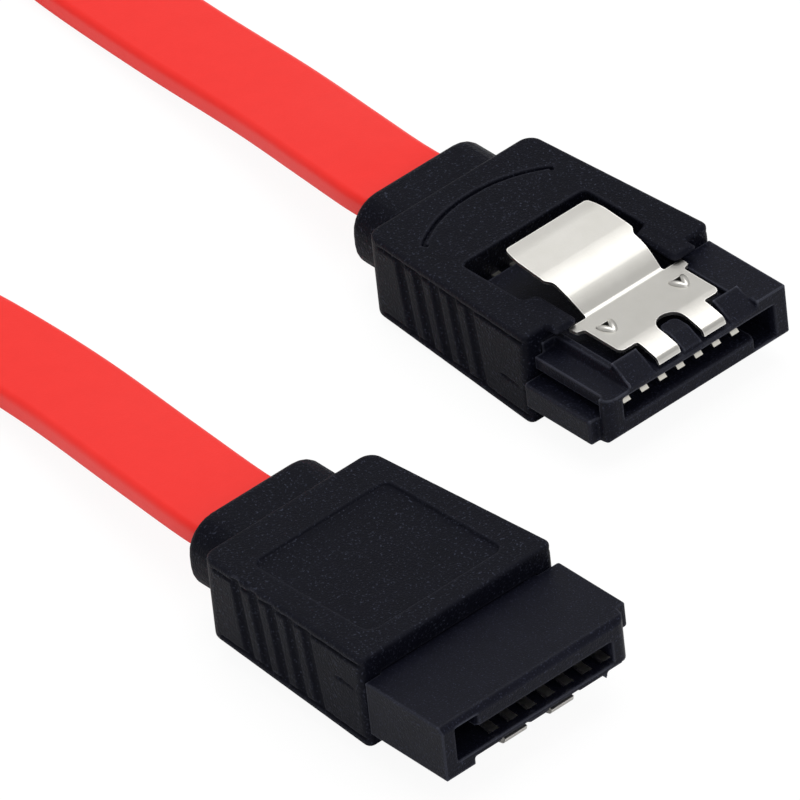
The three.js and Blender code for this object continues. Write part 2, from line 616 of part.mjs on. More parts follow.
// The tie: a band round both runs, at the point where they come closest.
function tie() {
  const [x, leftY, z] = ROUTE_LOOP[1];
  const rightY = ROUTE_LOOP[ROUTE_LOOP.length - 2][1];
  const reachY = CABLE_THICKNESS / 2 + TIE_GAP;
  const reachZ = CABLE_WIDTH / 2 + TIE_GAP;
  const ring = (grow) => outline([
    [rightY - reachY - grow, z - reachZ - grow, 0.4 + grow],
    [leftY + reachY + grow, z - reachZ - grow, 0.4 + grow],
    [leftY + reachY + grow, z + reachZ + grow, 0.4 + grow],
    [rightY - reachY - grow, z + reachZ + grow, 0.4 + grow],
  ], 2);
  return cut(along(ring(TIE_THICKNESS), x - TIE_WIDTH / 2, x + TIE_WIDTH / 2),
    along(ring(0), x - TIE_WIDTH, x + TIE_WIDTH));
}
add(group, 'cable_tie', tie(), TIE_PLASTIC);

export default group;
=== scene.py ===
"""The looks of a drive data cable: a flat red cable with a latching connector on both ends.

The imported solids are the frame. Each connector is modelled in its own frame, in millimetres: x = 0
is the mating face with -x toward the cable, y = 0 is the middle of the latch, and z = 0 is the flat
back of the moulded grip. A finished mesh is scaled to metres and put where its connector lies.
"""

import logging
import math
from dataclasses import dataclass
from enum import Enum
from typing import Callable, Iterable, Optional, Sequence

import bmesh
import bpy
from mathutils import Matrix, Vector

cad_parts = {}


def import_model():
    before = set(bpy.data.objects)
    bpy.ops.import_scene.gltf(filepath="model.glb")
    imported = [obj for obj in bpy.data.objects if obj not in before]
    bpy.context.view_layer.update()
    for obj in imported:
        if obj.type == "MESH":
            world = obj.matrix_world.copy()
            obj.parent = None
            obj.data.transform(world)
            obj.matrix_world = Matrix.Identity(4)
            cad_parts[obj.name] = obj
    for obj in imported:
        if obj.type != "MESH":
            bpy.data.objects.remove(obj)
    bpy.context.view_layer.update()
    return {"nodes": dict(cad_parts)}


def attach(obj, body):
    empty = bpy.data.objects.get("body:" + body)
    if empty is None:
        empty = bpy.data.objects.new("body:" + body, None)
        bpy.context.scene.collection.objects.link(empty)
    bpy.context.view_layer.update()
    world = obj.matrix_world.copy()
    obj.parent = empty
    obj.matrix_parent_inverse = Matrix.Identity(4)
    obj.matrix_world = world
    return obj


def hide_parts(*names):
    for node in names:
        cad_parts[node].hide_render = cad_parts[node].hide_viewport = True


LOG = logging.getLogger("drive_cable")
MM = 0.001
PAST = 1.0  # how far a cutter runs past the face that it opens, in millimetres
LAP = 0.1  # how far two solids that meet run into each other, in millimetres
Solid = bmesh.types.BMesh
Corner = tuple[float, float, float]
Place = tuple[float, float, float, float]


class End(Enum):
    """Which connector a piece belongs to, by the letter that the part's node names end in."""

    A = "a"
    B = "b"


class Body(Enum):
    """The bodies of the part that pieces ride on."""

    CABLE = "cable"
    LATCH_A = "latch_a"
    LATCH_B = "latch_b"


class Slot(Enum):
    """The record's material slots."""

    GRIP = "grip"
    HOUSING = "housing"
    LATCH = "latch"
    CARRIER = "carrier"
    CONTACT = "contact"
    CORE = "core"
    DRAIN = "drain"
    JACKET = "jacket"
    TIE = "tie"


# Small tools for meshes


def rounded_face(corners: Sequence[Corner], height: float, segments: int = 4) -> Solid:
    """One flat face with rounded corners.

    Args:
        corners: x, y and corner radius of each corner, in order round the outline.
        height: how high it lies.
        segments: how many steps a rounded corner has.

    Returns:
        The open mesh.
    """
    bm = bmesh.new()
    verts = [bm.verts.new((x, y, height)) for x, y, _ in corners]
    bm.faces.new(verts)
    by_radius: dict[float, list[bmesh.types.BMVert]] = {}
    for vert, (_, _, radius) in zip(verts, corners):
        if radius > 0:
            by_radius.setdefault(radius, []).append(vert)
    for radius, rounded in by_radius.items():
        bmesh.ops.bevel(bm, geom=rounded, offset=radius, segments=segments, profile=0.5,
                        affect="VERTICES", material=-1)
    return bm


def closed_plate(corners: Sequence[Corner], low: float, high: float, segments: int = 4) -> Solid:
    """A flat plate from an outline in x and y, raised from one height to another.

    Args:
        corners: x, y and corner radius of each corner, in order round the outline.
        low: the height of the under side.
        high: the height of the upper side.
        segments: how many steps a rounded corner has.

    Returns:
        The closed mesh.
    """
    bm = rounded_face(corners, low, segments)
    grown = bmesh.ops.extrude_face_region(bm, geom=list(bm.faces))
    tops = [e for e in grown["geom"] if isinstance(e, bmesh.types.BMVert)]
    bmesh.ops.translate(bm, verts=tops, vec=(0, 0, high - low))
    bmesh.ops.recalc_face_normals(bm, faces=list(bm.faces))
    return bm


def turned(bm: Solid, rows: Sequence[Sequence[float]]) -> Solid:
    """The mesh turned by the rows of a 3 by 3 matrix, with its faces outward again."""
    bmesh.ops.transform(bm, matrix=Matrix(rows).to_4x4(), verts=list(bm.verts))
    bmesh.ops.recalc_face_normals(bm, faces=list(bm.faces))
    return bm


def along(corners: Sequence[Corner], x0: float, x1: float, segments: int = 4) -> Solid:
    """An outline in y and z, run along from x0 to x1."""
    return turned(closed_plate(corners, x0, x1, segments), ((0, 0, 1), (1, 0, 0), (0, 1, 0)))


def across(corners: Sequence[Corner], y0: float, y1: float, segments: int = 4) -> Solid:
    """An outline in x and z, run across from y0 to y1."""
    return turned(closed_plate(corners, y0, y1, segments), ((1, 0, 0), (0, 0, 1), (0, 1, 0)))


def block(x0: float, x1: float, y0: float, y1: float, z0: float, z1: float) -> Solid:
    """A plain block between two corners, for cutting with or for joining to a moulding."""
    bm = bmesh.new()
    size = Matrix.Diagonal((abs(x1 - x0), abs(y1 - y0), abs(z1 - z0), 1))
    middle = Matrix.Translation(((x0 + x1) / 2, (y0 + y1) / 2, (z0 + z1) / 2))
    bmesh.ops.create_cube(bm, size=1, matrix=middle @ size)
    return bm


def rim(bm: Solid, keep: Callable[[bmesh.types.BMEdge], bool], offset: float,
        segments: int = 3) -> None:
    """Bevels the edges that a test picks.

    Args:
        bm: the mesh, which is changed.
        keep: says whether an edge is bevelled.
        offset: the bevel's width.
        segments: its steps.
    """
    edges = [e for e in bm.edges if keep(e)]
    bmesh.ops.bevel(bm, geom=edges, offset=offset, segments=segments, profile=0.5, affect="EDGES",
                    material=-1)


def flat_at(axis: int, value: float, slack: float = 1e-4) -> Callable[[bmesh.types.BMEdge], bool]:
    """A test for edges that lie in the plane where one coordinate has one value."""
    return lambda edge: all(abs(v.co[axis] - value) < slack for v in edge.verts)


def oblong(u0: float, u1: float, v0: float, v1: float, radius: float) -> list[Corner]:
    """The outline of an oblong with one radius at all its corners."""
    return [(u0, v0, radius), (u1, v0, radius), (u1, v1, radius), (u0, v1, radius)]


def linked(name: str, data: bpy.types.ID) -> bpy.types.Object:
    """A new object in the scene."""
    obj = bpy.data.objects.new(name, data)
    bpy.context.scene.collection.objects.link(obj)
    return obj


def to_mesh(bm: Solid, name: str) -> bpy.types.Mesh:
    """A new mesh from a mesh in work, which is freed."""
    mesh = bpy.data.meshes.new(name)
    bm.to_mesh(mesh)
    bm.free()
    return mesh


def discard(objects: Iterable[bpy.types.Object]) -> None:
    """Removes working objects with their meshes."""
    for obj in objects:
        mesh = obj.data
        bpy.data.objects.remove(obj)
        bpy.data.meshes.remove(mesh)


def with_modifiers(obj: bpy.types.Object) -> bpy.types.Mesh:
    """The object's mesh with its modifiers applied."""
    graph = bpy.context.evaluated_depsgraph_get()
    graph.update()
    return bpy.data.meshes.new_from_object(obj.evaluated_get(graph))


def carved(base: Solid, added: Iterable[Solid], cutters: Iterable[Solid],
           after: Iterable[Solid] = ()) -> bpy.types.Mesh:
    """One solid from others.

    Args:
        base: the solid that the work starts from.
        added: solids that are joined to it first.
        cutters: solids that are then cut away.
        after: solids that are joined last.

    Returns:
        The mesh of what is left.

    Raises:
        RuntimeError: if nothing is left, because a cut has failed.
    """
    whole = linked("work_base", to_mesh(base, "work_base"))
    tools = []
    for operation, group in (("UNION", added), ("DIFFERENCE", cutters), ("UNION", after)):
        for bm in group:
            tool = linked("work_tool", to_mesh(bm, "work_tool"))
            modifier = whole.modifiers.new("shape", "BOOLEAN")
            modifier.operation = operation
            modifier.solver = "EXACT"
            modifier.object = tool
            tools.append(tool)
    mesh = with_modifiers(whole)
    discard([whole, *tools])
    if not mesh.polygons:
        raise RuntimeError("a cut left nothing of its solid")
    return mesh


def moulded(mesh: bpy.types.Mesh, grain: float, rounds: int, keep: float) -> bpy.types.Mesh:
    """A carved solid as a moulding: every edge a little rounded, as plastic leaves the mould.

    Args:
        mesh: the carved solid, in millimetres.
        grain: the cell that the solid is filled with, about half of the edge's radius.
        rounds: how often the skin is smoothed.
        keep: the share of the faces that stays.

    Returns:
        The new mesh.
    """
    obj = linked("work_moulding", mesh)
    fill = obj.modifiers.new("fill", "REMESH")
    fill.mode = "VOXEL"
    fill.voxel_size = grain
    fill.use_smooth_shade = True
    soften = obj.modifiers.new("soften", "SMOOTH")
    soften.factor = 0.5
    soften.iterations = rounds
    thin = obj.modifiers.new("thin", "DECIMATE")
    thin.ratio = keep
    result = with_modifiers(obj)
    discard([obj])
    return result


# Materials


def linear(colour: str) -> tuple[float, float, float, float]:
    """An sRGB hex colour as linear red, green, blue and alpha."""
    shares = [int(colour[i:i + 2], 16) / 255 for i in (1, 3, 5)]
    curve = [c / 12.92 if c <= 0.04045 else ((c + 0.055) / 1.055) ** 2.4 for c in shares]
    return (curve[0], curve[1], curve[2], 1.0)


def add_node(tree: bpy.types.NodeTree, kind: str, settings: Optional[dict] = None,
             links: Optional[dict] = None) -> bpy.types.Node:
    """Adds one node.

    Args:
        tree: the material's or world's nodes.
        kind: the node's type.
        settings: values by the name of a property, or by the name or number of a socket.
        links: output sockets by the name or number of the input that they go to.

    Returns:
        The new node.
    """
    node = tree.nodes.new(kind)
    for key, value in (settings or {}).items():
        if isinstance(key, str) and hasattr(node, key):
            setattr(node, key, value)
        else:
            node.inputs[key].default_value = value
    for key, source in (links or {}).items():
        tree.links.new(source, node.inputs[key])
    return node


@dataclass(frozen=True)
class Finish:
    """A surface: a clouded base colour, a fine grain on the skin, and perhaps a painted highlight
    along the outer edges.
    """

    name: str
    colour: str
    shade: str  # the second colour that a slow cloud brings in
    roughness: float
    metallic: float = 0.0
    specular: float = 0.5
    cloud: float = 3.0  # size of the cloud, in millimetres
    grain: float = 0.15  # size of the skin's grain, in millimetres, coarse enough to show
    relief: float = 0.0  # height of the grain, in millimetres
    fleck: Optional[str] = None  # a paler colour that a few grains catch
    edge_highlight: Optional[str] = None  # the colour of a painted highlight along the outer edges
    edge_highlight_width: float = 0.12  # how wide the painted edge highlight is, in millimetres
    rough_spread: float = 0.06  # how far the grain moves the roughness either way
    fleck_range: tuple[float, float] = (0.6, 0.72)  # of the grain: where flecks begin and are full
    edge_highlight_range: tuple[float, float] = (0.95, 0.6)  # of the depth: where the painted highlight begins and is full

    def over(self, tree: bpy.types.NodeTree, under: bpy.types.NodeSocket, colour: str,
             value: bpy.types.NodeSocket, limits: tuple[float, float]) -> bpy.types.NodeSocket:
        """Lays a colour over another.

        Args:
            tree: the material's nodes.
            under: the colour below.
            colour: the colour above, as sRGB hex.
            value: what says where the colour above shows.
            limits: the values where it begins to show and where it shows fully.

        Returns:
            The output of both together.
        """
        mask = add_node(tree, "ShaderNodeMapRange", {"From Min": limits[0], "From Max": limits[1]},
                        {"Value": value})
        mix = add_node(tree, "ShaderNodeMix", {"data_type": "RGBA", 7: linear(colour)},
                       {0: mask.outputs["Result"], 6: under})
        return mix.outputs[2]

    def material(self) -> bpy.types.Material:
        """The material, made once and then shared."""
        known = bpy.data.materials.get(self.name)
        if known:
            return known
        material = bpy.data.materials.new(self.name)
        material.use_nodes = True
        tree = material.node_tree
        tree.nodes.clear()
        where = add_node(tree, "ShaderNodeTexCoord").outputs["Object"]
        cloud = add_node(tree, "ShaderNodeTexNoise",
                         {"Scale": 1 / (self.cloud * MM), "Detail": 3.0, "Roughness": 0.6},
                         {"Vector": where})
        mix = add_node(tree, "ShaderNodeMix",
                       {"data_type": "RGBA", 6: linear(self.colour), 7: linear(self.shade)},
                       {0: cloud.outputs["Fac"]})
        fine = add_node(tree, "ShaderNodeTexNoise",
                        {"Scale": 1 / (self.grain * MM), "Detail": 2.0, "Roughness": 0.55},
                        {"Vector": where})
        rough = add_node(tree, "ShaderNodeMapRange",
                         {"To Min": self.roughness - self.rough_spread,
                          "To Max": self.roughness + self.rough_spread},
                         {"Value": fine.outputs["Fac"]})
        colour = mix.outputs[2]
        if self.fleck:
            colour = self.over(tree, colour, self.fleck, fine.outputs["Fac"], self.fleck_range)
        # A painted highlight: a paler colour laid on the outer edges, where the inside occlusion
        # finds the solid thin.
        if self.edge_highlight:
            depth = add_node(tree, "ShaderNodeAmbientOcclusion",
                             {"inside": True, "samples": 8, "Distance": self.edge_highlight_width * MM})
            colour = self.over(tree, colour, self.edge_highlight, depth.outputs["AO"], self.edge_highlight_range)
        shader = add_node(tree, "ShaderNodeBsdfPrincipled",
                          {"Metallic": self.metallic, "Specular IOR Level": self.specular},
                          {"Base Color": colour, "Roughness": rough.outputs["Result"]})
        if self.relief > 0:
            bump = add_node(tree, "ShaderNodeBump", {"Strength": 1.0, "Distance": self.relief * MM},
                            {"Height": fine.outputs["Fac"]})
            tree.links.new(bump.outputs["Normal"], shader.inputs["Normal"])
        add_node(tree, "ShaderNodeOutputMaterial", None, {"Surface": shader.outputs["BSDF"]})
        return material


# Soft PVC, moulded in a spark-eroded tool: near black with a matt, faintly sparkling skin.
# Its outer edges carry a painted highlight.
GRIP_PVC = Finish("moulded_grip_pvc", "#070810", "#0E0F19", 0.46, specular=0.05, grain=0.13,
                  relief=0.05, fleck="#343744", edge_highlight="#2C2D36", edge_highlight_width=0.2)
# Glass-filled polyester, moulded in a polished tool: black with a cool, tighter sheen.
# Its outer edges carry a painted highlight.
HOUSING_POLYESTER = Finish("moulded_polyester", "#0B0C15", "#13141F", 0.38, specular=0.07,
                           cloud=1.2, grain=0.1, relief=0.03, fleck="#2F3242", edge_highlight="#454752",
                           edge_highlight_width=0.15)
# Stamped stainless strip with a satin mill finish: pale, with soft wide reflections. Its grain is
# drawn a few times coarser than the real one, so that it shows.
# Its outer edges carry a painted highlight.
LATCH_STEEL = Finish("satin_stainless_strip", "#C0BEB8", "#CBC9C4", 0.36, metallic=1.0, cloud=1.5,
                     grain=0.12, relief=0.003, edge_highlight="#EDEBE6", edge_highlight_width=0.08)
# Plated phosphor bronze, pale and bright where the strip was sheared.
CONTACT_PLATING = Finish("plated_contact_strip", "#FBF8F0", "#F4EFE2", 0.3, metallic=1.0,
                         grain=0.08)
# Plain nylon carrier block behind the contacts: dark grey and even.
CARRIER_NYLON = Finish("moulded_carrier_nylon", "#202026", "#26262C", 0.5, specular=0.3)
# Foamed polyethylene round the signal cores: chalky and pale.
CORE_FOAM = Finish("foamed_core_insulation", "#D5D9E0", "#C6CBD4", 0.55, specular=0.3)
# Tinned copper drain wire: a soft grey shine.
DRAIN_TIN = Finish("tinned_drain_wire", "#C9C7C3", "#B4B2AE", 0.34, metallic=1.0, grain=0.1)
# Extruded soft PVC jacket: a clear warm red with a satin skin. Its grain is drawn coarser than the
# real one too.
JACKET_PVC = Finish("extruded_jacket_pvc", "#F32A22", "#EC2119", 0.4, specular=0.3, cloud=1.2,
                    grain=0.12, relief=0.008)
# Moulded nylon strap: black, a little glossier than the grip.
TIE_NYLON = Finish("moulded_strap_nylon", "#18181C", "#202025", 0.45, specular=0.35, grain=0.12,
                   relief=0.004)


def dress(obj: bpy.types.Object, finish: Finish) -> None:
    """Gives every material slot of an object one finish."""
    material = finish.material()
    if not obj.material_slots:
        obj.data.materials.append(material)
    for material_slot in obj.material_slots:
        material_slot.material = material


def settle(mesh: bpy.types.Mesh, name: str, place: Matrix, finish: Finish, body: Body,
           nodes: Sequence[str]) -> bpy.types.Object:
    """Makes a finished piece of a mesh.

    Args:
        mesh: the mesh in its connector's frame, in millimetres. It is copied.
        name: the piece's name.
        place: from that frame to the part's, in metres.
        finish: its surface.
        body: the body that it rides on.
        nodes: the nodes of the part that it stands for.

    Returns:
        The piece.
    """
    copy = mesh.copy()
    copy.name = name
    copy.transform(place)
    copy.materials.clear()
    obj = linked(name, copy)
    dress(obj, finish)
    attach(obj, body.value)
    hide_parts(*nodes)
    LOG.info("%s: %d faces, stands for %s", name, len(copy.polygons), ", ".join(nodes))
    return obj


# The studio


@dataclass
class Studio:
    """The camera, the pale floor and the soft light.

    The camera is a long lens, because both connectors lie parallel in the picture.
    """

    target: Vector = Vector((-9.20, 2.53, 0.0)) * MM
    direction: Vector = Vector((-0.6289, 0.4887, -0.6046))
    distance: float = 0.886
    roll_degrees: float = -6.52
    focal_pixels: float = 17000.0
    image_pixels: float = 800.0
    sensor: float = 36.0
    floor_size: float = 6.0
    floor_glow: float = 0.9  # how much of the floor's brightness takes no shadow
    floor_level: float = 1.03  # just past white
    surround_level: float = 0.6

    def camera(self) -> None:
        """Makes the camera."""
        forward = self.direction.normalized()
        right = forward.cross(Vector((0, 0, 1))).normalized()
        up = right.cross(forward)
        roll = math.radians(self.roll_degrees)
        side = right * math.cos(roll) + up * math.sin(roll)
        top = up * math.cos(roll) - right * math.sin(roll)
        data = bpy.data.cameras.new("camera")
        data.sensor_width = self.sensor
        data.lens = self.focal_pixels / self.image_pixels * self.sensor
        data.clip_start = 0.01
        data.clip_end = 50.0
        camera = linked("camera", data)
        turn = Matrix((side, top, -forward)).transposed().to_4x4()
        camera.matrix_world = Matrix.Translation(self.target - forward * self.distance) @ turn
        bpy.context.scene.camera = camera

    def world(self) -> None:
        """A surround that is white in the picture and gives the object a moderate even light."""
        world = bpy.data.worlds.new("surround")
        world.use_nodes = True
        tree = world.node_tree
        tree.nodes.clear()
        seen = add_node(tree, "ShaderNodeLightPath").outputs["Is Camera Ray"]
        level = add_node(tree, "ShaderNodeMapRange", {"To Min": self.surround_level, "To Max": 1.0},
                         {"Value": seen})
        shader = add_node(tree, "ShaderNodeBackground", {"Color": (1, 1, 1, 1)},
                          {"Strength": level.outputs["Result"]})
        add_node(tree, "ShaderNodeOutputWorld", None, {"Surface": shader.outputs["Background"]})
        bpy.context.scene.world = world

    def floor(self) -> None:
        """A pale floor that looks white and keeps a light shadow."""
        bm = bmesh.new()
        bmesh.ops.create_grid(bm, x_segments=1, y_segments=1, size=self.floor_size / 2)
        floor = linked("floor", to_mesh(bm, "floor"))
        material = bpy.data.materials.new("white_sweep")
        material.use_nodes = True
        tree = material.node_tree
        tree.nodes.clear()
        seen = add_node(tree, "ShaderNodeLightPath").outputs["Is Camera Ray"]
        share = add_node(tree, "ShaderNodeMath", {"operation": "MULTIPLY", 1: self.floor_glow},
                         {0: seen})
        plain = add_node(tree, "ShaderNodeBsdfDiffuse", {"Color": linear("#F7F7F7")})
        glow = add_node(tree, "ShaderNodeEmission",
                        {"Color": (1, 1, 1, 1), "Strength": self.floor_level})
        mixed = add_node(tree, "ShaderNodeMixShader", None,
                         {0: share.outputs[0], 1: plain.outputs[0], 2: glow.outputs[0]})
        add_node(tree, "ShaderNodeOutputMaterial", None, {"Surface": mixed.outputs[0]})
        floor.data.materials.append(material)

    def lamp(self, name: str, place: Corner, size: float, watts: float) -> None:
        """Makes a square soft lamp that looks at the middle of the picture."""
        data = bpy.data.lights.new(name, "AREA")
        data.size = size
        data.energy = watts
        lamp = linked(name, data)
        lamp.location = Vector(place)
        lamp.rotation_euler = (self.target - lamp.location).to_track_quat("-Z", "Y").to_euler()
        lamp.visible_camera = False

    def build(self) -> None:
        """Makes everything that isn't part of the object."""
        self.camera()
        self.world()
        self.floor()
        self.lamp("overhead", place=(-0.10, 0.20, 0.75), size=0.6, watts=3.2)
        self.lamp("fill", place=(0.60, -0.15, 0.45), size=0.5, watts=0.8)
        bpy.context.scene.view_settings.view_transform = "Standard"


# The cable


def laid(x: float, y: float, turn: float, lift: float = 0.0) -> Place:
    """A place on the route where the jacket lies on the floor with its broad face turned.

    Args:
        x: along the connectors, in metres.
        y: across them, in metres.
        turn: how far the broad face has turned, in degrees.
        lift: how far the jacket is held off the floor, in metres.

    Returns:
        The place of the jacket's middle, and the turn.
    """
    angle = math.radians(turn)
    reach = FlatCable.width * abs(math.sin(angle)) + FlatCable.thickness * abs(math.cos(angle))
    return (x, y, reach / 2 + FlatCable.clear + lift, turn)


@dataclass
class FlatCable:
    """The flat red jacket, which runs from one connector round the folded length to the other."""

    width: float = 0.0058
    thickness: float = 0.0015
    clear: float = 0.00005  # off the surface that it lies on
    side_radius: float = 0.00045
    tie_lift: float = 0.00085  # off the floor where the strap is under it
    near_lift: float = 0.0004  # halfway to the strap
    first_lift: float = 0.00015  # where the rise begins, and how far the strap's edge is below it
    mouth_depth: float = 0.0015  # how far the jacket runs into a connector's collar
    ring_step: float = 0.0009
    curve_steps: int = 3000  # how finely the route is walked to space the rings
    exit_a: Corner = (-0.01865, 0.0122, 0.0034)
    exit_b: Corner = (-0.00385, -0.0122, 0.00335)

    def route(self) -> list[Place]:
        """The places that the middle of the jacket passes, from connector A to connector B."""
        a, b = self.exit_a, self.exit_b
        first, near, tie = self.first_lift, self.near_lift, self.tie_lift
        low = tie - first
        return [
            (*a, 0.0), (a[0] - 0.002, a[1], a[2], 0.0), (-0.025, 0.0128, 0.00295, 0.0),
            (-0.0314, 0.0138, 0.00215, 0.0), (-0.041, 0.0147, 0.0013, 0.0), laid(-0.050, 0.0156, 0),
            laid(-0.058, 0.0161, 14), laid(-0.066, 0.0158, 42), laid(-0.074, 0.0143, 72),
            laid(-0.082, 0.0118, 88), laid(-0.089, 0.0094, 90), laid(-0.096, 0.0076, 90, first),
            laid(-0.106, 0.0059, 90, low), laid(-0.114, 0.0056, 90, tie),
            laid(-0.124, 0.0063, 90, near), laid(-0.136, 0.0092, 90), laid(-0.148, 0.0142, 90),
            laid(-0.160, 0.0186, 90), laid(-0.172, 0.0188, 90), laid(-0.1825, 0.0128, 90),
            laid(-0.1865, 0.003, 90), laid(-0.1825, -0.0068, 90), laid(-0.172, -0.0128, 90),
            laid(-0.160, -0.0126, 90), laid(-0.148, -0.0082, 90), laid(-0.136, -0.0032, 90),
            laid(-0.124, -0.0003, 90, near), laid(-0.114, 0.0004, 90, tie),
            laid(-0.106, 0.0001, 90, low), laid(-0.096, -0.0014, 90, first),
            laid(-0.087, -0.0035, 90), laid(-0.078, -0.0055, 92), laid(-0.070, -0.007, 104),
            laid(-0.061, -0.0083, 132), laid(-0.052, -0.0092, 160), laid(-0.044, -0.0097, 175),
            laid(-0.036, -0.0098, 180), (-0.029, -0.0097, 0.00125, 180.0),
            (-0.0215, -0.0101, 0.0018, 180.0), (-0.0124, -0.0114, 0.0028, 180.0),
            (b[0] - 0.002, b[1], b[2], 180.0), (*b, 180.0),
        ]

    def at(self, route: Sequence[Place], share: float) -> tuple[Vector, float]:
        """A point on the smooth curve through the route, a centripetal spline.

        Args:
            route: the places that the curve passes.
            share: how far along it is, counted in places and divided by their number less one.

        Returns:
            The point, and the turn of the broad face there in degrees.
        """
        last = len(route) - 1
        step = min(int(share * last), last - 1)
        part = share * last - step
        points = [Vector(p[:3]) for p in route]
        one, two = points[step], points[step + 1]
        before = points[step - 1] if step > 0 else one * 2 - two
        after = points[step + 2] if step + 2 <= last else two * 2 - one
        gaps = [math.sqrt((q - p).length) for p, q in ((before, one), (one, two), (two, after))]
        out = ((one - before) / gaps[0] - (two - before) / (gaps[0] + gaps[1])
               + (two - one) / gaps[1])
        into = ((two - one) / gaps[1] - (after - one) / (gaps[1] + gaps[2])
                + (after - two) / gaps[2])
        out, into = out * gaps[1], into * gaps[1]
        point = (one + out * part + (3 * (two - one) - 2 * out - into) * part ** 2
                 + (2 * (one - two) + out + into) * part ** 3)
        return point, route[step][3] + (route[step + 1][3] - route[step][3]) * part

    def rings(self) -> list[tuple[Vector, Vector, Vector]]:
        """The rings of the jacket, evenly spaced along its length.

        Returns:
            For each ring its middle, the direction across the broad face, and the one out of it.
        """
        route = self.route()
        fine = [self.at(route, i / self.curve_steps) for i in range(self.curve_steps + 1)]
        start = (fine[0][0] + Vector((self.mouth_depth, 0, 0)), fine[0][1])
        finish = (fine[-1][0] + Vector((self.mouth_depth, 0, 0)), fine[-1][1])
        fine = [start, *fine, finish]
        travelled = [0.0]
        for (p, _), (q, _) in zip(fine, fine[1:]):
            travelled.append(travelled[-1] + (q - p).length)
        count = round(travelled[-1] / self.ring_step)
        spots, step = [], 0
        for i in range(count + 1):
            goal = travelled[-1] * i / count
            while step < len(fine) - 2 and travelled[step + 1] < goal:
                step += 1
            part = (goal - travelled[step]) / (travelled[step + 1] - travelled[step])
            (p, first), (q, second) = fine[step], fine[step + 1]
            spots.append((p.lerp(q, part), first + (second - first) * part))
        frames = []
        for i, (middle, turn) in enumerate(spots):
            run = (spots[min(i + 1, count)][0] - spots[max(i - 1, 0)][0]).normalized()
            left = Vector((0, 0, 1)).cross(run).normalized()
            normal = run.cross(left)
            angle = math.radians(turn)
            frames.append((middle, left * math.cos(angle) + normal * math.sin(angle),
                           normal * math.cos(angle) - left * math.sin(angle)))
        return frames

    def build(self) -> bpy.types.Object:
        """Makes the jacket as a straight bar, divides it lengthwise and bends it onto the route."""
        rings = self.rings()
        w, h, r = self.width / 2 / MM, self.thickness / 2 / MM, self.side_radius / MM
        bm = closed_plate(oblong(-w, w, -h, h, r), 0, 1, segments=6)
        long_edges = [e for e in bm.edges if abs(e.verts[0].co.z - e.verts[1].co.z) > 0.5]
        bmesh.ops.subdivide_edges(bm, edges=long_edges, cuts=len(rings) - 2, use_grid_fill=False)
        for vert in bm.verts:
            middle, side, face = rings[round(vert.co.z * (len(rings) - 1))]
            vert.co = middle + side * (vert.co.x * MM) + face * (vert.co.y * MM)
        bmesh.ops.recalc_face_normals(bm, faces=list(bm.faces))
        for face in bm.faces:
            face.smooth = len(face.verts) == 4
        piece = settle(to_mesh(bm, "jacket"), "flat_cable_jacket", Matrix.Identity(4), JACKET_PVC,
                       Body.CABLE, ["cable_run_a", "cable_loop", "cable_run_b"])
        return piece


@dataclass
class CableTie:
    """The strap round both runs of the folded length, with its square head at the side."""

    x: float = -114.0
    low_y: float = -0.65
    high_y: float = 6.65
    low_z: float = 0.6
    high_z: float = 7.0
    width: float = 3.0
    thickness: float = 0.55
    corner: float = 0.4
    head: float = 3.6
    head_height: float = 2.6
    head_sink: float = 0.3
    head_depth: float = 1.5
    head_rim: float = 0.25
    tail_half: float = 1.2
    tail_low: float = 0.4  # the tail's lower and upper faces, off the strap
    tail_high: float = 1.0
    tail_start: float = 1.0
    tail_stub: float = 1.1

    def build(self) -> bpy.types.Object:
        """Makes the strap, its head and the cut stub of its tail."""
        x0, x1 = self.x - self.width / 2, self.x + self.width / 2

        def ring(grow: float) -> list[Corner]:
            """The strap's outline, grown by a distance."""
            return oblong(self.low_y - grow, self.high_y + grow, self.low_z - grow,
                          self.high_z + grow, self.corner + grow)

        band = along(ring(self.thickness), x0, x1)
        hole = along(ring(0), x0 - PAST, x1 + PAST)
        z, half = (self.low_z + self.high_z) / 2, self.head_height / 2
        top = self.high_y + self.thickness
        head = block(self.x - self.head / 2, self.x + self.head / 2, top - self.head_sink,
                     top + self.head_depth, z - half, z + half)
        rim(head, lambda e: True, self.head_rim)
        tail = block(self.x - self.tail_half, self.x + self.tail_half, top + self.tail_low,
                     top + self.tail_high, z + self.tail_start, z + half + self.tail_stub)
        mesh = moulded(carved(band, [head, tail], [hole]), grain=0.12, rounds=3, keep=0.4)
        return settle(mesh, "strap_tie", Matrix.Scale(MM, 4), TIE_NYLON, Body.CABLE,
                      ["cable_tie"])


# The connector


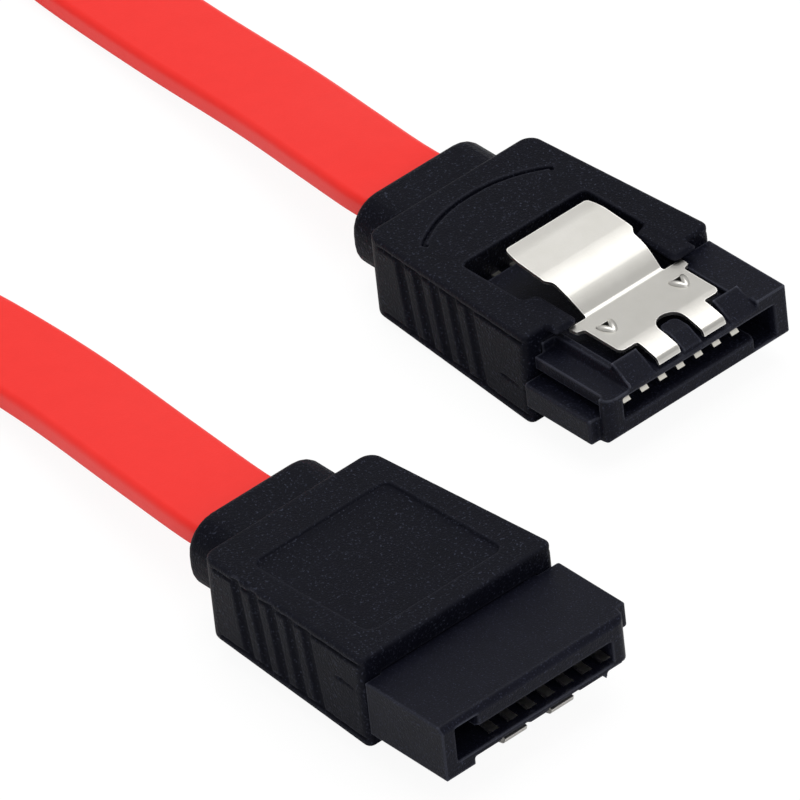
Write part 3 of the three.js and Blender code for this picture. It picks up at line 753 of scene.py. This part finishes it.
@dataclass
class Grip:
    """The black overmoulding: a tapered block with ribbed sides, a latch window and a collar."""

    front: float = -5.85
    length: float = 13.2
    front_half: float = 6.6
    rear_half: float = 5.85
    height: float = 5.75
    rear_rise: float = 0.45
    rear_drop: float = 0.15
    front_radius: float = 0.45
    rear_radius: float = 0.8
    edge: float = 0.24
    collar_length: float = 2.85
    collar_half: float = 4.6
    collar_bottom: float = 0.85
    collar_top: float = 5.25
    collar_radius: float = 1.85
    collar_rim: float = 0.45
    collar_overlap: float = 1.5
    rib_count: int = 5
    rib_pitch: float = 1.45
    rib_radius: float = 0.46
    rib_depth: float = 0.24
    rib_first: float = 4.3
    rib_lean: float = 0.14  # forward, for each millimetre down
    lip_drop: float = 0.5  # from the top edge down to the shadow line below it
    lip_depth: float = 0.15
    lip_width: float = 0.2
    lip_end: float = 1.0  # how far before the block's rear both shadow lines end
    seam_length: float = 2.3  # the faint parting line on both sides
    seam_height: float = 2.2
    seam_width: float = 0.16
    seam_depth: float = 0.12
    window_length: float = 7.3
    window_half: float = 4.35
    window_floor: float = 4.75
    window_radius: float = 0.35
    pit_length: float = 1.0
    pit_floor: float = 3.2
    tab_reach: float = 0.95
    tab_length: float = 2.9
    tab_overhang: float = 0.75
    tab_thickness: float = 0.42
    tab_drop: float = 0.04  # below the block's top
    tab_root: float = 0.6  # into the block
    tab_nose: float = 0.55  # how far the nose's rear slants
    tab_rim: float = 0.18
    panel_depth: float = 0.2
    panel_half: float = 4.6
    panel_set_back: float = 1.5
    panel_length: float = 9.1
    panel_radius: float = 0.6
    crescent_half: float = 4.5
    crescent_middle: float = -17.35
    crescent_bulge: float = 1.4
    crescent_width: float = 0.26
    crescent_depth: float = 0.32
    crescent_hook: tuple[float, float] = (0.3, -0.12)
    crescent_power: float = 2.2  # how suddenly the line curls toward its ends
    socket_half: float = 5.41
    socket_bottom: float = 1.39
    socket_top: float = 4.81
    socket_length: float = 6.66
    mouth_half: float = 2.93
    mouth_height: float = 1.54
    mouth_middle: float = 3.4
    mouth_radius: float = 0.6
    mouth_length: float = 1.8

    @property
    def rear(self) -> float:
        """Where the block ends and the collar begins."""
        return self.front - self.length

    @property
    def end(self) -> float:
        """Where the collar ends."""
        return self.rear - self.collar_length

    def half_at(self, x: float) -> float:
        """Half the block's width at a place along it."""
        share = (self.front - x) / self.length
        return self.front_half + (self.rear_half - self.front_half) * share

    def slope(self, bm: Solid) -> None:
        """Tapers a mesh in height toward the cable, as the block is."""
        for vert in bm.verts:
            share = (self.front - vert.co.x) / self.length
            low, high = self.rear_rise * share, self.height - self.rear_drop * share
            vert.co.z = low + vert.co.z / self.height * (high - low)

    def body(self) -> Solid:
        """The block, with rounded corners and a rounded rim above and below."""
        bm = closed_plate([
            (self.front, -self.front_half, self.front_radius),
            (self.front, self.front_half, self.front_radius),
            (self.rear, self.rear_half, self.rear_radius),
            (self.rear, -self.rear_half, self.rear_radius),
        ], 0, self.height, segments=6)
        rim(bm, flat_at(2, self.height), self.edge, 4)
        rim(bm, flat_at(2, 0), self.edge, 4)
        self.slope(bm)
        return bm

    def collar(self) -> Solid:
        """The strain relief collar that the cable comes out of."""
        outline = oblong(-self.collar_half, self.collar_half, self.collar_bottom, self.collar_top,
                         self.collar_radius)
        bm = along(outline, self.end, self.rear + self.collar_overlap, segments=6)
        rim(bm, flat_at(0, self.end), self.collar_rim, 4)
        return bm

    def ribs(self) -> list[Solid]:
        """Round grooves in both sides, whose lower ends lean forward."""
        grooves = []
        for i in range(self.rib_count):
            x = self.front - self.rib_first - i * self.rib_pitch
            out = self.half_at(x) + self.rib_radius - self.rib_depth
            for side in (1, -1):
                bm = bmesh.new()
                lean = Matrix.Rotation(side * math.atan(self.rib_lean), 4, "Y")
                middle = Matrix.Translation((x, side * out, self.height / 2))
                bmesh.ops.create_cone(bm, cap_ends=True, segments=16, radius1=self.rib_radius,
                                      radius2=self.rib_radius, matrix=middle @ lean,
                                      depth=self.height - 2 * self.lip_drop)
                grooves.append(bm)
        return grooves

    def side_lines(self) -> list[Solid]:
        """The shadow lines at the upper and lower edge and the parting line, on both sides."""
        lines = []
        low, high, lip_end = self.lip_drop, self.height - self.lip_drop, self.rear + self.lip_end
        start, out = self.front + PAST, self.front_half + PAST
        rows = ((low, self.lip_width, self.lip_depth, lip_end),
                (high, self.lip_width, self.lip_depth, lip_end),
                (self.seam_height, self.seam_width, self.seam_depth, self.front - self.seam_length))
        for side in (1, -1):
            for z, width, depth, end in rows:
                bm = closed_plate([
                    (start, side * (self.front_half - depth), 0), (start, side * out, 0),
                    (end, side * out, 0), (end, side * (self.half_at(end) - depth), 0),
                ], z - width / 2, z + width / 2)
                self.slope(bm)
                lines.append(bm)
        return lines

    def panel(self) -> Solid:
        """The shallow sunken panel on the back."""
        y, front, r = self.panel_half, self.front - self.panel_set_back, self.panel_radius
        rear = front - self.panel_length
        bm = closed_plate([(front, -y, r), (front, y, r), (rear, y, r), (rear, -y, r)], -PAST,
                          self.panel_depth)
        self.slope(bm)
        return bm

    def crescent(self) -> Solid:
        """The curved thumb line behind the window: a narrow groove, hooked forward at both ends."""
        steps = 16
        shares = [i / steps for i in range(-steps, steps + 1)]
        spine = [Vector((self.crescent_middle + self.crescent_bulge * abs(s) ** self.crescent_power,
                         self.crescent_half * s)) for s in shares]
        hook = Vector(self.crescent_hook)
        spine = [spine[0] + Vector((hook.x, -hook.y)), *spine, spine[-1] + hook]
        left, right = [], []
        for i, point in enumerate(spine):
            run = (spine[min(i + 1, len(spine) - 1)] - spine[max(i - 1, 0)]).normalized()
            aside = Vector((-run.y, run.x)) * self.crescent_width / 2
            left.append((*(point + aside), 0.0))
            right.append((*(point - aside), 0.0))
        bm = closed_plate([*left, *reversed(right)], self.height - self.crescent_depth,
                          self.height + PAST / 2)
        self.slope(bm)
        return bm

    def holes(self) -> list[Solid]:
        """The latch window with its deeper pit, the room for the housing's stem, and the mouth."""
        rear, half, r = self.front - self.window_length, self.window_half, self.window_radius
        front, inset = self.front + PAST, 0.02
        outline = [(rear, -half, r), (front, -half, 0), (front, half, 0), (rear, half, r)]
        window = closed_plate(outline, self.window_floor, self.height + PAST)
        pit = block(rear + inset, rear + self.pit_length, -half + inset, half - inset,
                    self.pit_floor, self.window_floor + LAP)
        socket = block(self.front - self.socket_length, front, -self.socket_half, self.socket_half,
                       self.socket_bottom, self.socket_top)
        y, z, rise = self.mouth_half, self.mouth_middle, self.mouth_height / 2
        mouth = along(oblong(-y, y, z - rise, z + rise, self.mouth_radius), self.end - PAST,
                      self.end + self.mouth_length)
        return [window, pit, socket, mouth]

    def tabs(self) -> list[Solid]:
        """The nosed tabs that reach into the window and hold the latch's ears down."""
        tabs = []
        rear, front = self.front - self.tab_length, self.front + self.tab_overhang
        top = self.height - self.tab_drop
        for side in (1, -1):
            inner = side * (self.window_half - self.tab_reach)
            outer = side * (self.window_half + self.tab_root)
            bm = closed_plate([(rear, outer, 0), (rear + self.tab_nose, inner, 0.3),
                               (front, inner, 0.35), (front, outer, 0.2)],
                              self.height - self.tab_thickness, top)
            rim(bm, flat_at(2, top), self.tab_rim, 1)
            tabs.append(bm)
        return tabs

    def mesh(self) -> bpy.types.Mesh:
        """The whole moulding."""
        cutters = [*self.holes(), self.panel(), self.crescent(), *self.ribs(), *self.side_lines()]
        solid = carved(self.body(), [self.collar()], cutters, self.tabs())
        return moulded(solid, grain=0.07, rounds=4, keep=0.28)


@dataclass
class Housing:
    """The harder front moulding with the L-shaped slot, the ledge, and the latch's well."""

    bottom: float = 1.45
    top: float = 4.75
    left: float = 6.45
    right: float = 5.45
    rail_half: float = 4.45
    rail_lean: float = 0.2  # the rail's outer side leans out by this much toward its foot
    grip_front: float = -5.85
    back_gap: float = 0.02  # between the grip's front and the block
    stem_length: float = 6.6
    stem_half: float = 5.35
    stem_overlap: float = 1.0
    ledge_reach: float = 6.85
    ledge_top: float = 2.95
    ledge_rim: float = 0.12
    ledge_groove: float = 0.1  # between the ledge and the flange
    root: float = 0.5  # how far the ledge, the shelf and the flange run into the main block
    shelf_reach: float = 5.95
    shelf_bottom: float = 3.45
    shelf_top: float = 4.2
    flange_thickness: float = 0.7
    flange_reach: float = 6.2
    flange_radius: float = 0.6
    slot_depth: float = 5.4
    slot_bottom: float = 2.65
    slot_top: float = 3.95
    slot_right: float = 5.0
    slot_left: float = 5.5
    leg_width: float = 1.4
    leg_drop: float = 0.7
    lip: float = 0.3
    lip_run: float = 0.6  # ahead of the mating face, where the lead-in would have its full width
    front_chamfer: float = 0.32
    ramp_inner: float = 2.7
    ramp_outer: float = 4.45
    ramp_back: float = 1.4
    ramp_rise: float = 0.35
    ramp_drop: float = 0.45
    ramp_crest: float = 0.15  # the level strip behind each slope
    bevel_run: float = 0.5
    bevel_drop: float = 0.3  # below the ramps' front, at the end of the run
    well_depth: float = 0.42
    well_half: float = 4.05
    well_front: float = 1.6
    hook_room: float = 2.5
    hook_floor: float = 4.38
    tongue_half: float = 0.62
    tongue_back: float = 2.15
    tongue_rise: float = 0.22
    tongue_crest: float = 1.1
    tongue_tip: float = 0.12  # the tip's height, and its place behind the mating face
    tongue_bevel: float = 0.4
    contact_count: int = 7
    contact_pitch: float = 1.27
    contact_offset: float = -0.91
    hole_half: float = 0.31
    hole_bottom: float = 3.65
    hole_overlap: float = 0.2

    def slot_outline(self, grow: float) -> list[Corner]:
        """The slot's outline in y and z, grown by a distance below and at its sides."""
        right, left = -self.slot_right - grow, self.slot_left + grow
        leg, floor = self.slot_left - self.leg_width - grow, self.slot_bottom - grow
        foot = self.slot_bottom - self.leg_drop - grow
        return [(right, self.slot_top, 0), (right, floor, 0), (leg, floor, 0), (leg, foot, 0),
                (left, foot, 0), (left, self.slot_top, 0)]

    def lip_cutter(self) -> Solid:
        """The sloped lead-in round the slot's mouth."""
        bm = along(self.slot_outline(self.lip), -self.lip, self.lip_run)
        pairs = list(zip(self.slot_outline(self.lip), self.slot_outline(0)))
        for vert in bm.verts:
            if vert.co.x < 0:
                _, inner = min(pairs, key=lambda pair: (pair[0][0] - vert.co.y) ** 2
                               + (pair[0][1] - vert.co.z) ** 2)
                vert.co.y, vert.co.z = inner[0], inner[1]
        return bm

    def solids(self) -> tuple[Solid, list[Solid]]:
        """The main block, and what is joined to it."""
        right, behind, bottom, top = -self.right, -self.flange_thickness, self.bottom, self.top
        back, root = self.grip_front + self.back_gap, right + self.root
        base = block(back, 0, right, self.left, bottom, top)
        stem = block(self.grip_front - self.stem_length, self.grip_front + self.stem_overlap,
                     -self.stem_half, self.stem_half, bottom, top)
        ledge = block(back, behind - self.ledge_groove, -self.ledge_reach, root, bottom,
                      self.ledge_top)
        rim(ledge, lambda e: all(v.co.y < right for v in e.verts), self.ledge_rim, 2)
        shelf = block(back, behind + LAP, -self.shelf_reach, root, self.shelf_bottom,
                      self.shelf_top)
        flange = closed_plate([(behind, root, 0), (behind, -self.flange_reach, 0),
                               (0, -self.flange_reach, self.flange_radius), (0, root, 0)],
                              bottom, self.shelf_top)
        return base, [stem, ledge, shelf, flange]

    def front_bevel(self) -> Solid:
        """What is cut off the top toward the mating face, between the ramp blocks' outer sides."""
        back, out, high = -self.ramp_back, self.bevel_run, self.top + PAST
        low = self.top - self.ramp_drop - self.bevel_drop
        return across([(back, self.top + 0.01, 0), (out, low, 0), (out, high, 0), (back, high, 0)],
                      -self.ramp_outer, self.ramp_outer)

    def ramps(self) -> list[Solid]:
        """The two blocks that slope down to the mating face above the slot."""
        high, foot = self.top + self.ramp_rise, self.shelf_top - LAP
        back = -self.ramp_back - self.ramp_crest
        outline = [(back, foot, 0), (0, foot, 0), (0, self.top - self.ramp_drop, 0),
                   (-self.ramp_back, high, 0), (back, high, 0)]
        return [across(outline, side * self.ramp_inner, side * self.ramp_outer)
                for side in (1, -1)]

    def step(self) -> Solid:
        """What is cut away above the shelf, up to the rail's leaning outer side."""
        far, high, rail = -self.ledge_reach - PAST, self.top + PAST, -self.rail_half
        return along([(far, self.shelf_top, 0), (rail - self.rail_lean, self.shelf_top, 0),
                      (rail, self.top, 0), (rail, high, 0), (far, high, 0)],
                     self.grip_front + self.back_gap, PAST)

    def lower_chamfer(self) -> Solid:
        """What is cut off the lower edge of the mating face."""
        size, low, half = self.front_chamfer, self.bottom, self.ledge_reach + PAST
        return across([(-size, low - LAP, 0), (LAP, low - LAP, 0), (LAP, low + size, 0),
                       (0, low + size, 0), (-size, low, 0)], -half, half)

    def tongue(self) -> Solid:
        """The small faceted tongue that stands in the latch's notch."""
        floor, high = self.top - self.well_depth, self.top + self.tongue_rise
        back, tip = -self.tongue_back, self.tongue_tip
        bm = across([(back, floor - LAP, 0), (-tip, floor - LAP, 0), (-tip, floor + tip, 0),
                     (-self.tongue_crest, high, 0), (back, high, 0)],
                    -self.tongue_half, self.tongue_half)
        rim(bm, lambda e: abs(e.verts[0].co.z - e.verts[1].co.z) > self.tongue_rise
            and max(v.co.x for v in e.verts) < back + 0.01, self.tongue_bevel)
        return bm

    def cutters(self) -> list[Solid]:
        """What is taken away: the well, the hooks' room, the slot and the contacts' holes."""
        back, high = self.grip_front - self.stem_length - PAST, self.top + PAST
        well = block(back, -self.well_front, -self.well_half, self.well_half,
                     self.top - self.well_depth, high)
        hooks = block(-self.well_front - LAP, PAST, -self.hook_room, self.hook_room,
                      self.hook_floor, high)
        slot = along(self.slot_outline(0), -self.slot_depth, PAST)
        middles = [self.contact(i) for i in range(self.contact_count)]
        holes = [block(back, -self.slot_depth + self.hole_overlap, y - self.hole_half,
                       y + self.hole_half, self.hole_bottom, self.slot_top) for y in middles]
        return [self.step(), self.lower_chamfer(), well, hooks, slot, self.lip_cutter(), *holes]

    def contact(self, i: int) -> float:
        """Where one contact stands, across the slot."""
        return (i - (self.contact_count - 1) / 2) * self.contact_pitch + self.contact_offset

    def mesh(self) -> bpy.types.Mesh:
        """The whole moulding."""
        base, added = self.solids()
        first = carved(base, added, [self.front_bevel()])
        bm = bmesh.new()
        bm.from_mesh(first)
        bpy.data.meshes.remove(first)
        solid = carved(bm, self.ramps(), self.cutters(), [self.tongue()])
        return moulded(solid, grain=0.06, rounds=3, keep=0.3)


@dataclass
class LatchSpring:
    """The stamped steel latch: a thumb tab, a fold, a flat plate with barbs, and two hooks."""

    sheet: float = 0.2
    plate_top: float = 5.22
    plate_half: float = 3.5
    plate_front: float = 1.75
    ear_half: float = 4.0
    ear_back: float = 5.35
    ear_front: float = 4.65
    neck_half: float = 2.8
    thumb_half: float = 3.12
    thumb_front: float = 7.85
    thumb_back: float = 11.2
    thumb_top: float = 6.75
    hook_inner: float = 0.85
    hook_outer: float = 2.35
    hook_front: float = 0.12
    hook_bottom: float = 4.5
    hook_end: float = 0.3  # past the plan's end, because the hook's tip turns down
    notch_back: float = 2.47
    barb_tips: tuple[tuple[float, float], ...] = ((-3.3, -2.5), (-3.3, 2.6))
    barb_length: float = 0.86
    barb_half: float = 0.42
    barb_width: float = 0.24
    barb_rise: float = 0.19
    barb_overlap: float = 0.12
    barb_sink: float = 0.02
    pierce_front: float = 0.4
    pierce_back: float = 0.05  # past the rims' rear ends
    pierce_inset: float = 0.12
    cell: float = 0.3  # the flats are divided this finely, so that each is shaded as a flat
    edge_radius: float = 0.04

    def side_line(self) -> list[tuple[float, float]]:
        """The side view of the sheet's top face, from the curled rear edge to the hooks' tips.

        Returns:
            x and z of each point. The knots are x, z and the offset of the bend.
        """
        top = self.plate_top
        knots = [(-self.thumb_back, self.thumb_top, 0), (-10.45, self.thumb_top - 0.03, 0.22),
                 (-self.thumb_front, self.thumb_top - 0.27, 0.6), (-6.85, top + 0.98, 0.45),
                 (-6.1, top + 0.55, 0.4), (-self.ear_back - 0.02, top, 0.16), (-1.6, top, 0.6),
                 (-0.22, self.hook_bottom + 0.36, 0.2), (-self.hook_front, self.hook_bottom, 0)]
        bm = bmesh.new()
        verts = [bm.verts.new((x, z, 0)) for x, z, _ in knots]
        for first, second in zip(verts, verts[1:]):
            bm.edges.new((first, second))
        for vert, (_, _, radius) in zip(verts, knots):
            if radius > 0:
                bmesh.ops.bevel(bm, geom=[vert], offset=radius, segments=7, profile=0.5,
                                affect="VERTICES", material=-1)
        points = sorted((v.co.x, v.co.y) for v in bm.verts)
        bm.free()
        return points

    def outline(self) -> list[Corner]:
        """The blank's outline, one half and then the other, with x as it is in the plan."""
        back, fold, ear = -self.thumb_back, -self.thumb_front, -self.ear_back
        thumb, neck, inner = self.thumb_half, self.neck_half, self.hook_inner
        half = [
            (back, thumb - 0.26, 0.2), (back + 0.9, thumb - 0.02, 0.5), (fold - 0.1, thumb, 0.12),
            (fold + 0.3, thumb - 0.3, 0.15), (ear - 1.15, neck + 0.02, 0.4),
            (ear - 0.02, neck - 0.1, 0.0), (ear + 0.12, neck - 0.02, 0.06),
            (ear + 0.1, self.ear_half, 0.08), (-self.ear_front, self.ear_half - 0.08, 0.08),
            (-self.ear_front + 0.12, self.plate_half, 0.1),
            (-self.plate_front, self.plate_half, 0.35), (-self.plate_front, self.hook_outer, 0.15),
            (self.hook_end, self.hook_outer, 0.06), (self.hook_end, inner, 0.06),
        ]
        steps = 6
        angles = [math.pi / 2 * i / steps for i in range(steps + 1)]
        notch = [(-self.notch_back + inner * (1 - math.sin(angle)), inner * math.cos(angle), 0.0)
                 for angle in angles]
        left = [*half, *notch[:-1]]
        right = [(x, -y, r) for x, y, r in reversed(left)]
        return [*left, (notch[-1][0], 0.0, 0.0), *right]

    def bent(self) -> Solid:
        """The flat blank, laid out along the sheet, cut into small cells and then bent."""
        line = self.side_line()
        lengths = [0.0]
        for (x0, z0), (x1, z1) in zip(line, line[1:]):
            lengths.append(lengths[-1] + math.hypot(x1 - x0, z1 - z0))

        def along_sheet(x: float) -> float:
            """How far along the sheet a place of the plan lies."""
            for i, ((x0, _), (x1, _)) in enumerate(zip(line, line[1:])):
                if x0 <= x < x1:
                    return lengths[i] + (lengths[i + 1] - lengths[i]) * (x - x0) / (x1 - x0)
            return lengths[0] if x < line[0][0] else lengths[-1]

        bm = rounded_face(self.outline(), 0)
        for vert in bm.verts:
            vert.co.x = along_sheet(vert.co.x)
        cuts = list(lengths[1:-1])
        for first, second in zip(lengths, lengths[1:]):
            parts = math.ceil((second - first) / self.cell)
            cuts += [first + (second - first) * i / parts for i in range(1, parts)]
        half = math.ceil(self.ear_half / self.cell)
        planes = [((cut, 0, 0), (1, 0, 0)) for cut in cuts]
        planes += [((0, i * self.cell, 0), (0, 1, 0)) for i in range(-half, half + 1)]
        for place, normal in planes:
            bmesh.ops.bisect_plane(bm, geom=[*bm.verts, *bm.edges, *bm.faces], dist=1e-5,
                                   plane_co=place, plane_no=normal)
        for vert in bm.verts:
            goal = vert.co.x
            i = max(k for k in range(len(lengths) - 1) if lengths[k] <= goal + 1e-6)
            part = min(max((goal - lengths[i]) / (lengths[i + 1] - lengths[i]), 0), 1)
            (x0, z0), (x1, z1) = line[i], line[i + 1]
            vert.co = (x0 + (x1 - x0) * part, vert.co.y, z0 + (z1 - z0) * part)
        bmesh.ops.recalc_face_normals(bm, faces=list(bm.faces))
        if sum(f.normal.z for f in bm.faces) < 0:
            bmesh.ops.reverse_faces(bm, faces=list(bm.faces))
        bmesh.ops.solidify(bm, geom=list(bm.faces), thickness=self.sheet)
        bmesh.ops.recalc_face_normals(bm, faces=list(bm.faces))
        return bm

    def ridges(self) -> list[Solid]:
        """The raised rims of both barbs: each is a V that points to the front."""
        rims = []
        for x, y in self.barb_tips:
            for side in (1, -1):
                arm = Vector((-self.barb_length, side * self.barb_half))
                bm = bmesh.new()
                turn = Matrix.Rotation(math.atan2(arm.y, arm.x), 4, "Z")
                size = Matrix.Diagonal((arm.length / 2 + self.barb_overlap, self.barb_width,
                                        self.barb_rise, 1))
                middle = Matrix.Translation((x + arm.x / 2, y + arm.y / 2,
                                             self.plate_top - self.barb_sink))
                bmesh.ops.create_uvsphere(bm, u_segments=20, v_segments=10, radius=1,
                                          matrix=middle @ turn @ size)
                rims.append(bm)
        return rims

    def piercings(self) -> list[Solid]:
        """The three-cornered holes between the rims."""
        front, back = self.pierce_front, self.barb_length + self.pierce_back
        half = self.barb_half - self.pierce_inset
        return [closed_plate([(x - front, y, 0), (x - back, y + half, 0), (x - back, y - half, 0)],
                             self.plate_top - PAST, self.plate_top + PAST)
                for x, y in self.barb_tips]

    def mesh(self) -> bpy.types.Mesh:
        """The whole latch, with its sheared edges a little rounded and its flats shaded flat."""
        solid = carved(self.bent(), self.ridges(), self.piercings())
        for polygon in solid.polygons:
            polygon.use_smooth = True
        obj = linked("work_latch", solid)
        soft = obj.modifiers.new("edges", "BEVEL")
        soft.width = self.edge_radius
        soft.segments = 2
        soft.limit_method = "ANGLE"
        soft.angle_limit = math.radians(50)
        even = obj.modifiers.new("flats", "WEIGHTED_NORMAL")
        even.mode = "FACE_AREA_WITH_ANGLE"
        even.weight = 80
        mesh = with_modifiers(obj)
        discard([obj])
        return mesh


@dataclass
class Connector:
    """One connector: its mouldings, its latch, and the part's own contacts, carrier and wires."""

    end: End
    latch_body: Body
    place: Matrix

    def build(self, grip: bpy.types.Mesh, housing: bpy.types.Mesh, latch: bpy.types.Mesh,
              nodes: dict[str, bpy.types.Object]) -> None:
        """Places the three detailed pieces and dresses the nodes that stay.

        Args:
            grip: the grip's mesh in the connector's frame.
            housing: the housing's mesh.
            latch: the latch's mesh.
            nodes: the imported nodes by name.
        """
        letter = self.end.value
        settle(grip, f"grip_moulding_{letter}", self.place, GRIP_PVC, Body.CABLE,
               [f"grip_{letter}"])
        settle(housing, f"housing_moulding_{letter}", self.place, HOUSING_POLYESTER, Body.CABLE,
               [f"front_housing_{letter}"])
        settle(latch, f"latch_stamping_{letter}", self.place, LATCH_STEEL, self.latch_body,
               [f"latch_spring_{letter}"])
        # The carrier comes before the contacts, because its name starts with theirs.
        kinds = {"contact_carrier": CARRIER_NYLON, "contact": CONTACT_PLATING,
                 "signal_core": CORE_FOAM, "drain_wire": DRAIN_TIN}
        for name, node in nodes.items():
            if name.endswith(f"_{letter}"):
                for start, finish in kinds.items():
                    if name.startswith(start):
                        dress(node, finish)
                        break


def main() -> None:
    """Builds the studio, the cable, the tie and both connectors, and keeps the sizes."""
    logging.basicConfig(level=logging.INFO, format="%(message)s")
    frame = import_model()
    Studio().build()
    FlatCable().build()
    CableTie().build()
    grip, housing, latch = Grip().mesh(), Housing().mesh(), LatchSpring().mesh()
    scale = Matrix.Scale(MM, 4)
    place_a = scale @ Matrix.Translation((3.55, 12.2, 0))
    place_b = scale @ Matrix.Translation((18.35, -12.2, 6.75)) @ Matrix.Rotation(math.pi, 4, "X")
    Connector(End.A, Body.LATCH_A, place_a).build(grip, housing, latch, frame["nodes"])
    Connector(End.B, Body.LATCH_B, place_b).build(grip, housing, latch, frame["nodes"])


if __name__ == "__main__":
    main()
